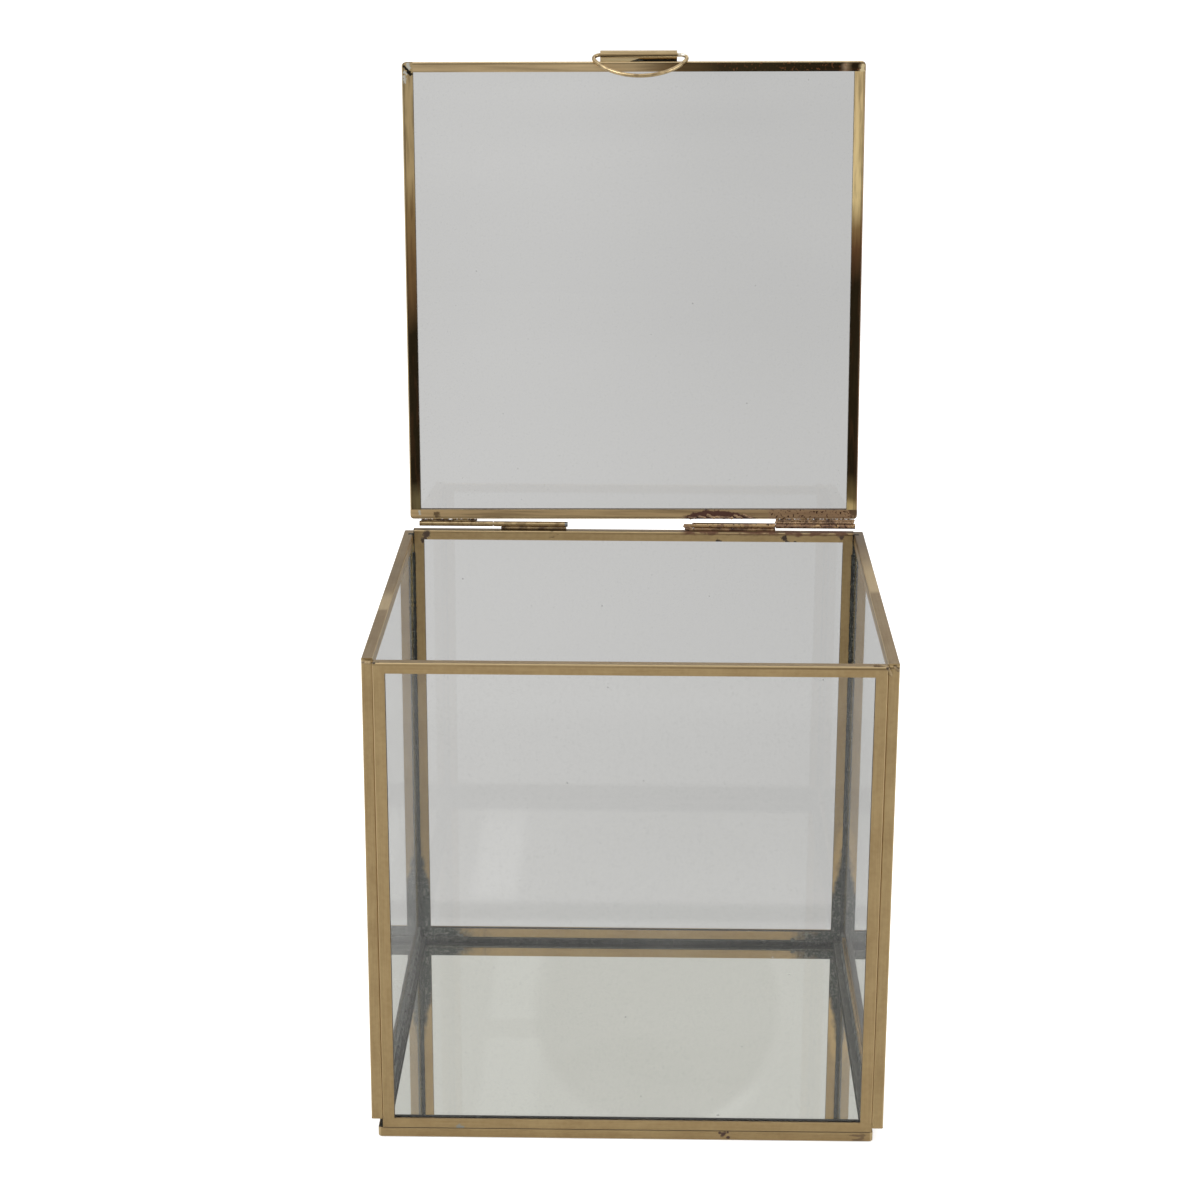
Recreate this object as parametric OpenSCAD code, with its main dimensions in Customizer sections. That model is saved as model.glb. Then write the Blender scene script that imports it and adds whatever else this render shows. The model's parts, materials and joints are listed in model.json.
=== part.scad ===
// Glass casket box: panes and a mirror in folded brass channel strip, soldered into a box, with a
// glass lid on two barrel hinges and a wire ring to lift it. Millimetres, +Z up, front towards -Y.
// The origin is the middle of the underside. The lid is drawn open, leaning back past upright.

/* [Walls] */
// Width of the front and back walls, between the side walls
front_w = 143.4; // [110:1:200]
// Depth of the side walls, front face to back face
side_d = 143.4; // [100:1:200]
// Height of the front and back walls above the base
wall_h = 143.6; // [90:1:200]
// How much shorter the left wall is than the front and back walls
left_wall_short = 2.1; // [1.6:0.1:4]
// How much shorter the right wall is than the front and back walls
right_wall_short = 0.8; // [0.4:0.1:4]
// Solder gap between the base and the back foot of the left wall
left_wall_lift = 0.6; // [0.1:0.1:1.5]
// Solder gap between the base and the back foot of the right wall
right_wall_lift = 0.15; // [0.05:0.05:1.5]
// Left wall soldered on askew: its front foot is raised by this angle, in degrees
left_wall_tip = 0.9; // [0:0.1:1]
// Right wall soldered on askew, in degrees
right_wall_tip = 0.5; // [0:0.1:1]

/* [Channel strip] */
// Thickness of the brass strip
strip_t = 0.5; // [0.3:0.05:0.8]
// Outer radius of the folds along the strip
fold_r = 0.4; // [0.2:0.05:0.45]
// Visible face of the level strips
rail_face = 3.1; // [2:0.1:6]
// Visible face of the upright strips
stile_face = 3.4; // [2:0.1:6]

/* [Glass] */
// Thickness of the clear panes
glass_t = 2.2; // [1.5:0.1:4]
// Thickness of the mirror
mirror_t = 2; // [1.5:0.1:4]
// Play of a pane on each side in its strip
glass_fit = 0.05; // [0.02:0.01:0.2]

/* [Base] */
// How far the base would reach out under each side wall if it were centred
base_lip = 0.95; // [0:0.05:2]
// How far to the left of centre the base was soldered on
base_off = 0.5; // [0:0.1:0.6]
// How far the base stands back from the front and back faces
base_set_back = 0.3; // [0:0.05:1]
// Inward reach of the base strip over the mirror
base_face = 3.1; // [2:0.1:6]
// Corner radius of the base, seen from above
base_corner_r = 1.2; // [0.9:0.1:3]

/* [Lid] */
// How far the lid reaches out over each side wall
lid_side_reach = 0.95; // [0:0.05:2.5]
// How far the shut lid reaches out past the front face
lid_overhang = 5.1; // [5:0.1:10]
// Corner radius of the lid frame
lid_corner_r = 1.3; // [0.9:0.1:2]
// Angle that the open lid leans back past upright
lid_lean = 4.15; // [0:0.05:20]
// Lid soldered on askew in its own plane, in degrees
lid_skew = 0.4; // [0:0.1:0.5]
// Gap between the rim and the shut lid, which lies on the raised corner of the left wall
lid_seat = 0.6; // [0.5:0.05:0.8]
// Distance from the hinge axis to the middle of the lid's hinge edge
lid_gap = 2.1; // [1.8:0.1:4]

/* [Hinges] */
// Outer diameter of the barrels
barrel_d = 1.7; // [1.5:0.1:2]
// Diameter of the hinge pins
pin_d = 0.9; // [0.7:0.05:1.1]
// Clearance round the pin, on the radius
pin_fit = 0.05; // [0.02:0.01:0.08]
// Gap between the two barrels of one hinge
barrel_gap = 0.2; // [0.1:0.05:1]
// Height of the hinge axis above the back wall
axis_rise = 1.7; // [1.5:0.05:2.5]
// Distance of the hinge axis in from the back face
axis_inset = 0.9; // [0.5:0.05:2.4]
// Distance from the left end of the back wall to the meeting line of the left hinge
left_hinge_in = 26; // [25:0.2:28]
// Distance from the right end of the back wall to the meeting line of the right hinge
right_hinge_in = 25.4; // [25.2:0.2:28]
// Length of the left barrel on the lid
left_lid_barrel_l = 24; // [10:0.2:26]
// Length of the left barrel on the back wall
left_wall_barrel_l = 24.2; // [10:0.2:28]
// Length of the right barrel on the lid
right_lid_barrel_l = 25.8; // [10:0.2:26]
// Length of the right barrel on the back wall
right_wall_barrel_l = 27; // [10:0.2:28]
// Length of the right pin that sticks out of its barrel
pin_tail = 2.9; // [0:0.1:6]

/* [Pull] */
// Outer diameter of the rolled tube on the free edge
tube_d = 2.8; // [2.2:0.1:5]
// Length of the rolled tube
tube_l = 24.1; // [10:0.1:60]
// Middle of the tube, to the right of the lid's middle
tube_x = 1.65; // [-30:0.05:30]
// Gap between the tube and the free edge
tube_gap = 0.6; // [0.2:0.05:2]
// Diameter of the ring's wire
wire_d = 1.2; // [0.8:0.1:1.8]
// Clearance of the wire in the tube, on the radius
wire_fit = 0.05; // [0.02:0.01:0.08]
// Play of the tube between the ring's two corners, in all
ring_play = 1; // [0.4:0.1:4]
// Corner radius of the ring, on the wire's middle
ring_corner_r = 2; // [1.2:0.1:6]
// Reach of the ring from its pin to the far side, on the wire's middle
ring_reach = 11.7; // [8:0.1:12]
// Angle of the resting ring from the lid's inner face
ring_rest = 59; // [56:1:80]
// Depth of the line where the tube's rolled edge closes
seam_depth = 0.25; // [0.1:0.05:0.5]

/* [Solder] */
// Leg of the solder in the upright corners
corner_leg = 1.1; // [0.5:0.1:2]
// Height left bare at the top of the upright corners
corner_bare = 5; // [4:0.5:20]
// Width of the solder between the side walls and the base
foot_leg = 1.2; // [0.5:0.1:2]
// Height of the solder between the side walls and the base
foot_rise = 4; // [3.6:0.1:6]
// Thickness of the solder under and behind the barrels
hinge_solder_w = 1.5; // [0.8:0.1:1.6]
// Length of the bare end of the left wall barrel, where the solder stops short
left_wall_bare = 2.9; // [0:0.1:8]
// Length of the bare end of the left lid barrel
left_lid_bare = 4.9; // [0:0.1:8]
// Length of the solder under the tube, from its left end
pull_solder_l = 12.6; // [4:0.1:20]
// Thickness of the solder under the tube
pull_solder_w = 1.6; // [0.8:0.1:2.2]

/* [Hidden] */
$fn = 48;

// Seat of a pane: strip and play between its edge and the outside
seat = strip_t + glass_fit;
panel_t = glass_t + 2 * seat;
base_h = mirror_t + 2 * seat;
base_w = front_w + 2 * base_lip;
base_d = side_d - 2 * base_set_back;
rim_z = base_h + wall_h;
left_wall_h = wall_h - left_wall_short;
right_wall_h = wall_h - right_wall_short;
axis_y = side_d / 2 - axis_inset;
axis_z = rim_z + axis_rise;
left_hinge_x = front_w / 2 - left_hinge_in;
right_hinge_x = front_w / 2 - right_hinge_in;
lid_w = front_w + 2 * lid_side_reach;
lid_l = side_d - axis_inset - lid_gap + lid_overhang;
// Depth of the shut lid's inner face below the hinge axis
lid_drop = axis_rise - lid_seat;
// Solder stands this far off a round barrel, so that the two surfaces only meet
solder_off = 0.02;
// Cutters reach this far past what they cut
cut = 1;
// Two stretches of bent wire end this far short of their joint, inside a thin sleeve that joins them
wire_end_gap = 0.02;
sleeve_t = 0.02;
sleeve_l = 0.3;

brass = [0.66, 0.55, 0.36];
clear_glass = [0.82, 0.87, 0.86, 0.35];
mirror_tint = [0.8, 0.83, 0.78];
solder_grey = [0.42, 0.42, 0.4];

// ---- Channel strip and framed panels ----
// A panel lies in x and z from its lower left corner, with its outer face at y = 0

// Cross-section of the strip: web along the bottom, two flanges, folds rounded outside
module channel_profile(face) {
  difference() {
    union() {
      translate([0, fold_r]) square([panel_t, face - fold_r]);
      translate([fold_r, 0]) square([panel_t - 2 * fold_r, face]);
      translate([fold_r, fold_r]) circle(fold_r);
      translate([panel_t - fold_r, fold_r]) circle(fold_r);
    }
    translate([strip_t, strip_t]) square([panel_t - 2 * strip_t, face]);
  }
}

// Strip along +x with its web at the bottom
module channel(len, face) {
  rotate([90, 0, 90]) linear_extrude(height = len) channel_profile(face);
}

// Level strips of a panel, from x = from to x = to
module bottom_rail(from, to) {
  translate([from, 0, 0]) channel(to - from, rail_face);
}

module top_rail(from, to, h) {
  translate([0, 0, h]) mirror([0, 0, 1]) bottom_rail(from, to);
}

// Upright strips of a panel, from z = from to z = to
module left_stile(from, to) {
  translate([0, 0, from]) mirror([1, 0, 0]) rotate([0, -90, 0]) channel(to - from, stile_face);
}

module right_stile(from, to, w) {
  translate([w, 0, 0]) mirror([1, 0, 0]) left_stile(from, to);
}

module pane(w, h) {
  translate([seat, seat, seat]) cube([w - 2 * seat, glass_t, h - 2 * seat]);
}

// Rail whose flanges are cut away at both ends, so that only its web covers the stiles
module notched_rail(w) {
  difference() {
    bottom_rail(0, w);
    translate([-cut, -cut, strip_t]) cube([stile_face + cut, panel_t + 2 * cut, rail_face]);
    translate([w - stile_face, -cut, strip_t]) cube([stile_face + cut, panel_t + 2 * cut, rail_face]);
  }
}

module lapped_top_rail(w, h) {
  color(brass) translate([0, 0, h]) mirror([0, 0, 1]) notched_rail(w);
}

// ---- Places of the panels ----
module front_place() {
  translate([-front_w / 2, -side_d / 2, base_h]) children();
}

module back_place() {
  mirror([0, 1, 0]) front_place() children();
}

// Side walls stand on the base at their back foot and tip up towards the front
module left_place() {
  translate([-front_w / 2 - panel_t, side_d / 2, base_h + left_wall_lift])
    rotate([0, 0, -90]) rotate([0, -left_wall_tip, 0]) children();
}

module right_place() {
  translate([front_w / 2 + panel_t, side_d / 2, base_h + right_wall_lift])
    mirror([1, 0, 0]) rotate([0, 0, -90]) rotate([0, -right_wall_tip, 0]) children();
}

// Frame of the open lid about the hinge axis: z runs towards the free edge, y towards the outer face
module lid_axis_place() {
  translate([0, axis_y, axis_z]) rotate([-lid_lean, 0, 0]) children();
}

module lid_place() {
  lid_axis_place() translate([0, -lid_drop, lid_gap]) rotate([0, -lid_skew, 0])
    translate([-lid_w / 2, 0, 0]) children();
}

// Middle of the tube, with x from the lid's middle
module tube_place() {
  lid_place() translate([lid_w / 2 + tube_x, panel_t / 2, lid_l + tube_gap + tube_d / 2]) children();
}

module x_rod(d, len) {
  rotate([0, 90, 0]) cylinder(d = d, h = len);
}

// ---- Base ----
module rounded_plate(w, d, r, h) {
  linear_extrude(height = h) union() {
    translate([-w / 2 + r, -d / 2]) square([w - 2 * r, d]);
    translate([-w / 2, -d / 2 + r]) square([w, d - 2 * r]);
    for (x = [-1, 1]) {
      for (y = [-1, 1]) {
        translate([x * (w / 2 - r), y * (d / 2 - r)]) circle(r);
      }
    }
  }
}

module centred_block(w, d, h) {
  translate([-w / 2, -d / 2, 0]) cube([w, d, h]);
}

module base_channel() {
  color(brass) translate([-base_off, 0, 0]) difference() {
    rounded_plate(base_w, base_d, base_corner_r, base_h);
    translate([0, 0, strip_t])
      rounded_plate(base_w - 2 * strip_t, base_d - 2 * strip_t, base_corner_r - strip_t, base_h - 2 * strip_t);
    translate([0, 0, -cut]) centred_block(base_w - 2 * base_face, base_d - 2 * base_face, base_h + 2 * cut);
  }
}

// The mirror lies on the lower flange
module base_mirror() {
  color(mirror_tint) translate([-base_off, 0, strip_t])
    rounded_plate(base_w - 2 * seat, base_d - 2 * seat, base_corner_r - seat, mirror_t);
}

// ---- Front and back walls: stiles stand on the bottom rail, the top rail's web laps their ends ----
module cross_wall_glass() {
  color(clear_glass) pane(front_w, wall_h);
}

module cross_wall_bottom() {
  color(brass) bottom_rail(0, front_w);
}

module cross_wall_top() {
  lapped_top_rail(front_w, wall_h);
}

module cross_wall_left() {
  color(brass) left_stile(rail_face, wall_h - strip_t);
}

module cross_wall_right() {
  color(brass) right_stile(rail_face, wall_h - strip_t, front_w);
}

module front_glass() {
  front_place() cross_wall_glass();
}

module front_bottom_channel() {
  front_place() cross_wall_bottom();
}

module front_top_channel() {
  front_place() cross_wall_top();
}

module front_left_channel() {
  front_place() cross_wall_left();
}

module front_right_channel() {
  front_place() cross_wall_right();
}

module back_glass() {
  back_place() cross_wall_glass();
}

module back_bottom_channel() {
  back_place() cross_wall_bottom();
}

module back_top_channel() {
  back_place() cross_wall_top();
}

module back_left_channel() {
  back_place() cross_wall_left();
}

module back_right_channel() {
  back_place() cross_wall_right();
}

// ---- Side walls: the rails' webs run to the corners over the ends of the stiles ----
// Each is drawn from the back foot forwards
module side_wall_bottom() {
  color(brass) notched_rail(side_d);
}

module side_wall_back(h) {
  color(brass) left_stile(strip_t, h - strip_t);
}

module side_wall_front(h) {
  color(brass) right_stile(strip_t, h - strip_t, side_d);
}

module left_glass() {
  color(clear_glass) left_place() pane(side_d, left_wall_h);
}

module left_bottom_channel() {
  left_place() side_wall_bottom();
}

module left_top_channel() {
  left_place() lapped_top_rail(side_d, left_wall_h);
}

module left_back_channel() {
  left_place() side_wall_back(left_wall_h);
}

module left_front_channel() {
  left_place() side_wall_front(left_wall_h);
}

module right_glass() {
  color(clear_glass) right_place() pane(side_d, right_wall_h);
}

module right_bottom_channel() {
  right_place() side_wall_bottom();
}

module right_top_channel() {
  right_place() lapped_top_rail(side_d, right_wall_h);
}

module right_back_channel() {
  right_place() side_wall_back(right_wall_h);
}

module right_front_channel() {
  right_place() side_wall_front(right_wall_h);
}

// ---- Solder of the box ----
// Hollow-faced fillet in each upright corner, from the base nearly to the rim
module wall_corner_solder() {
  fillet_h = min(wall_h, left_wall_h, right_wall_h) - corner_bare;
  hollow = 0.35 * corner_leg;
  color(solder_grey) for (x = [0, 1]) {
    for (y = [0, 1]) {
      mirror([x, 0, 0]) mirror([0, y, 0])
        translate([-front_w / 2, -side_d / 2 + panel_t, base_h]) linear_extrude(height = fillet_h)
          polygon([[0, 0], [corner_leg, 0], [hollow, hollow], [0, corner_leg]]);
    }
  }
}

// Fillet from the base up the inside of each side wall, which stands a little clear of the base
module side_foot_solder() {
  fillet_l = side_d - 2 * (panel_t + corner_leg);
  color(solder_grey) for (x = [0, 1]) {
    mirror([x, 0, 0]) translate([-front_w / 2, fillet_l / 2, base_h]) rotate([90, 0, 0])
      linear_extrude(height = fillet_l) polygon([[0, 0], [foot_leg, 0], [0, foot_rise]]);
  }
}

// ---- Lid: hinge-edge rail runs through, the free-edge rail butts at the left and laps the right stile ----
module lid_plate(inset, from, thickness) {
  translate([lid_w / 2, from + thickness, lid_l / 2]) rotate([90, 0, 0])
    rounded_plate(lid_w - 2 * inset, lid_l - 2 * inset, lid_corner_r - inset, thickness);
}

module lid_outline() {
  lid_plate(0, 0, panel_t);
}

module lid_glass() {
  color(clear_glass) lid_place() lid_plate(seat, seat, glass_t);
}

module lid_hinge_channel() {
  color(brass) lid_place() intersection() {
    bottom_rail(0, lid_w);
    lid_outline();
  }
}

module lid_free_channel() {
  color(brass) lid_place() intersection() {
    top_rail(stile_face, lid_w, lid_l);
    lid_outline();
  }
}

module lid_left_channel() {
  color(brass) lid_place() intersection() {
    left_stile(rail_face, lid_l);
    lid_outline();
  }
}

module lid_right_channel() {
  color(brass) lid_place() right_stile(rail_face, lid_l - rail_face, lid_w);
}

// ---- Hinges: a barrel on the lid outside, a barrel on the wall towards the middle ----
module barrel(len) {
  difference() {
    x_rod(barrel_d, len);
    translate([-cut, 0, 0]) x_rod(pin_d + 2 * pin_fit, len + 2 * cut);
  }
}

module left_wall_barrel() {
  color(brass) translate([-left_hinge_x + barrel_gap / 2, axis_y, axis_z]) barrel(left_wall_barrel_l);
}

module left_lid_barrel() {
  color(brass) lid_axis_place() translate([-left_hinge_x - barrel_gap / 2 - left_lid_barrel_l, 0, 0])
    barrel(left_lid_barrel_l);
}

module left_hinge_pin() {
  color(brass) translate([-left_hinge_x - left_lid_barrel_l, axis_y, axis_z])
    x_rod(pin_d, left_lid_barrel_l + left_wall_barrel_l);
}

module right_wall_barrel() {
  color(brass) translate([right_hinge_x - barrel_gap / 2 - right_wall_barrel_l, axis_y, axis_z])
    barrel(right_wall_barrel_l);
}

module right_lid_barrel() {
  color(brass) lid_axis_place() translate([right_hinge_x + barrel_gap / 2, 0, 0]) barrel(right_lid_barrel_l);
}

module right_hinge_pin() {
  color(brass) translate([right_hinge_x - right_wall_barrel_l - pin_tail, axis_y, axis_z])
    x_rod(pin_d, right_wall_barrel_l + right_lid_barrel_l + pin_tail);
}

// Solder under a wall barrel, from the rail's web up to the middle of the barrel
module wall_solder_strip(from, to) {
  difference() {
    translate([from, axis_y - hinge_solder_w / 2, rim_z]) cube([to - from, hinge_solder_w, axis_rise]);
    translate([from - cut, axis_y, axis_z]) x_rod(barrel_d + 2 * solder_off, to - from + 2 * cut);
  }
}

module wall_barrel_solder() {
  color(solder_grey) {
    wall_solder_strip(-left_hinge_x + barrel_gap / 2 + left_wall_bare,
                      -left_hinge_x + barrel_gap / 2 + left_wall_barrel_l);
    wall_solder_strip(right_hinge_x - barrel_gap / 2 - right_wall_barrel_l, right_hinge_x - barrel_gap / 2);
  }
}

// Solder between a lid barrel and the lid's hinge edge, which is askew to it
module lid_solder_strip(from, to) {
  difference() {
    lid_place() translate([lid_w / 2 + from, lid_drop - hinge_solder_w / 2, -lid_gap])
      cube([to - from, hinge_solder_w, lid_gap]);
    lid_axis_place() translate([from - cut, 0, 0]) {
      x_rod(barrel_d + 2 * solder_off, to - from + 2 * cut);
      translate([0, -barrel_d, -2 * barrel_d]) cube([to - from + 2 * cut, 2 * barrel_d, 2 * barrel_d]);
    }
  }
}

module lid_barrel_solder() {
  color(solder_grey) {
    lid_solder_strip(-left_hinge_x - barrel_gap / 2 - left_lid_barrel_l,
                     -left_hinge_x - barrel_gap / 2 - left_lid_bare);
    lid_solder_strip(right_hinge_x + barrel_gap / 2, right_hinge_x + barrel_gap / 2 + right_lid_barrel_l);
  }
}

// ---- Pull ----
// Tube rolled from sheet: the closing line is a groove along its inner side
module pull_tube() {
  bore_d = wire_d + 2 * wire_fit;
  color(brass) tube_place() difference() {
    translate([-tube_l / 2, 0, 0]) x_rod(tube_d, tube_l);
    translate([-tube_l / 2 - cut, 0, 0]) x_rod(bore_d, tube_l + 2 * cut);
    translate([-tube_l / 2 - cut, -tube_d / 2 - cut, -seam_depth / 2])
      cube([tube_l + 2 * cut, cut + seam_depth, seam_depth]);
  }
}

module pull_solder() {
  color(solder_grey) tube_place() difference() {
    translate([-tube_l / 2, -pull_solder_w / 2, -tube_d / 2 - tube_gap])
      cube([pull_solder_l, pull_solder_w, tube_gap + tube_d / 3]);
    translate([-tube_l / 2 - cut, 0, 0]) x_rod(tube_d + 2 * solder_off, tube_l + 2 * cut);
  }
}

// Arc of wire in the x-z plane about its own centre, from angle a0 to a1, 0 being +x and 90 being -z
module wire_arc(r, a0, a1) {
  trim = wire_end_gap / r * 180 / PI;
  rotate([-90, 0, 0]) rotate([0, 0, a0 + trim])
    rotate_extrude(angle = a1 - a0 - 2 * trim) translate([r, 0]) circle(d = wire_d);
}

// Sleeve round the wire at angle a of such an arc
module wire_sleeve(r, a) {
  rotate([-90, 0, 0]) rotate([0, 0, a]) translate([r, 0, 0]) rotate([90, 0, 0])
    cylinder(d = wire_d + 2 * sleeve_t, h = sleeve_l, center = true);
}

// D-shaped ring: a straight pin through the tube, two corners and one long bow, each tangent to the next
module pull_ring() {
  half_pin = (tube_l + ring_play) / 2;
  rise = ring_reach - ring_corner_r;
  bow_r = (half_pin * half_pin + rise * rise - ring_corner_r * ring_corner_r) / (2 * (rise - ring_corner_r));
  bow_z = bow_r - ring_reach;
  turn = atan2(bow_z + ring_corner_r, half_pin);
  color(brass) tube_place() translate([ring_play / 2, 0, 0]) rotate([-ring_rest, 0, 0]) {
    translate([-half_pin, 0, 0]) x_rod(wire_d, 2 * half_pin);
    for (side = [0, 1]) {
      mirror([side, 0, 0]) translate([half_pin, 0, -ring_corner_r]) {
        wire_arc(ring_corner_r, -90, turn);
        wire_sleeve(ring_corner_r, -90);
        wire_sleeve(ring_corner_r, turn);
      }
    }
    translate([0, 0, bow_z]) wire_arc(bow_r, turn, 180 - turn);
  }
}

base_mirror();
base_channel();
front_glass();
front_bottom_channel();
front_top_channel();
front_left_channel();
front_right_channel();
back_glass();
back_bottom_channel();
back_top_channel();
back_left_channel();
back_right_channel();
left_glass();
left_bottom_channel();
left_top_channel();
left_back_channel();
left_front_channel();
right_glass();
right_bottom_channel();
right_top_channel();
right_back_channel();
right_front_channel();
wall_corner_solder();
side_foot_solder();
lid_glass();
lid_hinge_channel();
lid_free_channel();
lid_left_channel();
lid_right_channel();
left_wall_barrel();
left_lid_barrel();
left_hinge_pin();
right_wall_barrel();
right_lid_barrel();
right_hinge_pin();
wall_barrel_solder();
lid_barrel_solder();
pull_tube();
pull_solder();
pull_ring();
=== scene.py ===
"""Glass casket box, its lid thrown back: clear panes and a mirror in folded brass strip, soldered by hand."""

import json
import math

import bpy
from mathutils import Matrix, Vector


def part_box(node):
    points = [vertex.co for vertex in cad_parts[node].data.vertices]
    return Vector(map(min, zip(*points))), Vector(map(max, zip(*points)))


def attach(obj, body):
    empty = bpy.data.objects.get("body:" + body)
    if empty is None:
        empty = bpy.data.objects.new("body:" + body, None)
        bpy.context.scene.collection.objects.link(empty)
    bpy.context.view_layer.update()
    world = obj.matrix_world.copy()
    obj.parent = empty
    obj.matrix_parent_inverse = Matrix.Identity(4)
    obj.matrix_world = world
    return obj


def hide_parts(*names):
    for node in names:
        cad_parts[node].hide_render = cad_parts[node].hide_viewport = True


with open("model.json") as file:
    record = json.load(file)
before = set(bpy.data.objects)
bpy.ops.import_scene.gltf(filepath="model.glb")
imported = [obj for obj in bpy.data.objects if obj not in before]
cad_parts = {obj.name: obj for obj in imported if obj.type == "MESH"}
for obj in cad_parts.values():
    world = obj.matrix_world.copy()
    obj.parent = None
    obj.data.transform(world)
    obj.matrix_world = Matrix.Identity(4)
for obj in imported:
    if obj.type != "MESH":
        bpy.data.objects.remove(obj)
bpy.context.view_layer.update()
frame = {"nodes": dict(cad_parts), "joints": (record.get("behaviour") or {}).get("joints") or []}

# ---- Camera ----
# A long lens in front of the box and above it, looking down at its middle, as the photograph was taken.
# The frame is square.
camera = bpy.data.objects.new("camera", bpy.data.cameras.new("camera"))
bpy.context.scene.collection.objects.link(camera)
camera.data.sensor_width = 36
camera.data.lens = 83.29
camera.data.shift_y = 0.0583
camera.matrix_world = (
    Matrix.Translation((0.0042, -0.80416, 0.38525))
    @ Matrix.Rotation(math.radians(0.978), 4, "Z")
    @ Matrix.Rotation(math.radians(90 - 18.143), 4, "X")
    @ Matrix.Rotation(math.radians(0.17), 4, "Z")
)
bpy.context.scene.camera = camera
bpy.context.scene.view_settings.view_transform = "Standard"


# ---- Material sums ----
# Every finish on the box is painted with this brush: a socket of a material's tree whose sums are
# written as Python, so that a mask of stain, grain or dust reads as one line.
MM = 0.001


class Paint:
    def __init__(self, tree, socket=None):
        self.tree, self.socket = tree, socket

    def node(self, kind, settings=None, sockets=None, out=0):
        made = self.tree.nodes.new("ShaderNode" + kind)
        for name, value in (settings or {}).items():
            if name == "stops":
                while len(made.color_ramp.elements) < len(value):
                    made.color_ramp.elements.new(1)
                for stop, (place, colour) in zip(made.color_ramp.elements, value):
                    stop.position, stop.color = place, (*colour, 1)
            else:
                setattr(made, name, value)
        for name, value in (sockets or {}).items():
            if isinstance(value, Paint):
                self.tree.links.new(value.socket, made.inputs[name])
            else:
                made.inputs[name].default_value = value
        return Paint(self.tree, made.outputs[out] if made.outputs else None)

    def sum(self, operation, a, b=0.0):
        return self.node("Math", {"operation": operation}, {0: a, 1: b})

    def __add__(self, other):
        return self.sum("ADD", self, other)

    def __sub__(self, other):
        return self.sum("SUBTRACT", self, other)

    def __rsub__(self, other):
        return self.sum("SUBTRACT", other, self)

    def __mul__(self, other):
        return self.sum("MULTIPLY", self, other)

    __radd__, __rmul__ = __add__, __mul__

    def __abs__(self):
        return self.sum("ABSOLUTE", self)

    def most(self, other):
        return self.sum("MAXIMUM", self, other)

    def least(self, other):
        return self.sum("MINIMUM", self, other)

    def step(self, low, high):
        """0 below low and 1 above high, or the other way round where low is the higher."""
        flip = low > high
        ends = {"From Min": min(low, high), "From Max": max(low, high), "To Min": float(flip)}
        ends["To Max"] = float(not flip)
        return self.node("MapRange", {"interpolation_type": "SMOOTHSTEP"}, {"Value": self, **ends})

    def blend(self, a, b):
        """Colour a where this mask is 0, and b where it is 1."""
        four = [(*c, 1) if isinstance(c, tuple) and len(c) == 3 else c for c in (a, b)]
        return self.node("Mix", {"data_type": "RGBA"}, {0: self, 6: four[0], 7: four[1]}, out=2)

    def noise(self, scale, detail=2.0, stretch=(1, 1, 1)):
        """Noise over this place, in features per metre, drawn out where stretch is small."""
        turned = self.node("Mapping", {}, {"Vector": self, "Scale": stretch})
        return self.node("TexNoise", {}, {"Vector": turned, "Scale": scale, "Detail": detail})

    def scaled(self, factor):
        return self.node("VectorMath", {"operation": "SCALE"}, {0: self, "Scale": factor})

    def blot_of(self, away, radius, ragged, grain):
        """1 where away is under radius, in millimetres, with an edge that noise of that grain breaks up."""
        away = away + (self.noise(grain, 4) - 0.5) * (radius * MM * 2 * ragged)
        return away.step(radius * MM, radius * MM * 0.55)

    def spot(self, middle, radius, ragged=1.0):
        """1 inside a ragged blot round middle, in millimetres, fading towards its edge."""
        there = tuple(MM * c for c in middle)
        away = self.node("VectorMath", {"operation": "DISTANCE"}, {0: self, 1: there}, out=1)
        return self.blot_of(away, radius, ragged, 900)

    def stroke(self, start, end, radius, ragged=1.0):
        """A finer blot drawn out from start to end."""
        start, run = Vector(start) * MM, (Vector(end) - Vector(start)) * MM
        share = (self.along(tuple(run)) - start.dot(run)) * (1 / run.length_squared)
        share = share.most(0.0).least(1.0)
        reach = self.node("VectorMath", {"operation": "SCALE"}, {0: tuple(run), "Scale": share})
        nearest = self.node("VectorMath", {"operation": "ADD"}, {0: reach, 1: tuple(start)})
        away = self.node("VectorMath", {"operation": "DISTANCE"}, {0: self, 1: nearest}, out=1)
        return self.blot_of(away, radius, ragged, 2200)

    def along(self, direction):
        return self.node("VectorMath", {"operation": "DOT_PRODUCT"}, {0: self, 1: direction}, out=1)

    def parts(self):
        split = self.node("SeparateXYZ", {}, {"Vector": self})
        return [Paint(self.tree, s) for s in split.socket.node.outputs]

    def ray_kinds(self):
        """Masks of what the camera sees straight, and of what it sees through glass."""
        rays = self.node("LightPath").socket.node.outputs
        return Paint(self.tree, rays["Is Camera Ray"]), Paint(self.tree, rays["Is Transmission Ray"])

    def finish(self, surface):
        self.node("OutputMaterial", {}, {"Surface": surface})


def new_paint(name):
    material = bpy.data.materials.new(name)
    material.use_nodes = True
    material.node_tree.nodes.clear()
    return material, Paint(material.node_tree)


# ---- Studio ----
# A pale floor that runs off to white, a soft box overhead to the left, two weaker ones, and a grey
# surround. The camera sees white past the box, and grey paper through its panes, as in the photograph.
def softbox(name, place, size, watts):
    lamp = bpy.data.objects.new(name, bpy.data.lights.new(name, "AREA"))
    lamp.data.size = size
    lamp.data.energy = watts
    aim = Vector((0, 0, 0.15)) - Vector(place)
    lamp.matrix_world = Matrix.Translation(place) @ aim.to_track_quat("-Z", "Y").to_matrix().to_4x4()
    bpy.context.scene.collection.objects.link(lamp)


softbox("key_softbox", (-0.9, -0.7, 1.3), 0.9, 10)
softbox("fill_softbox", (1.3, -0.6, 0.8), 0.8, 5)
softbox("back_softbox", (0.2, 1.3, 1.5), 1.0, 5)

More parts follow.
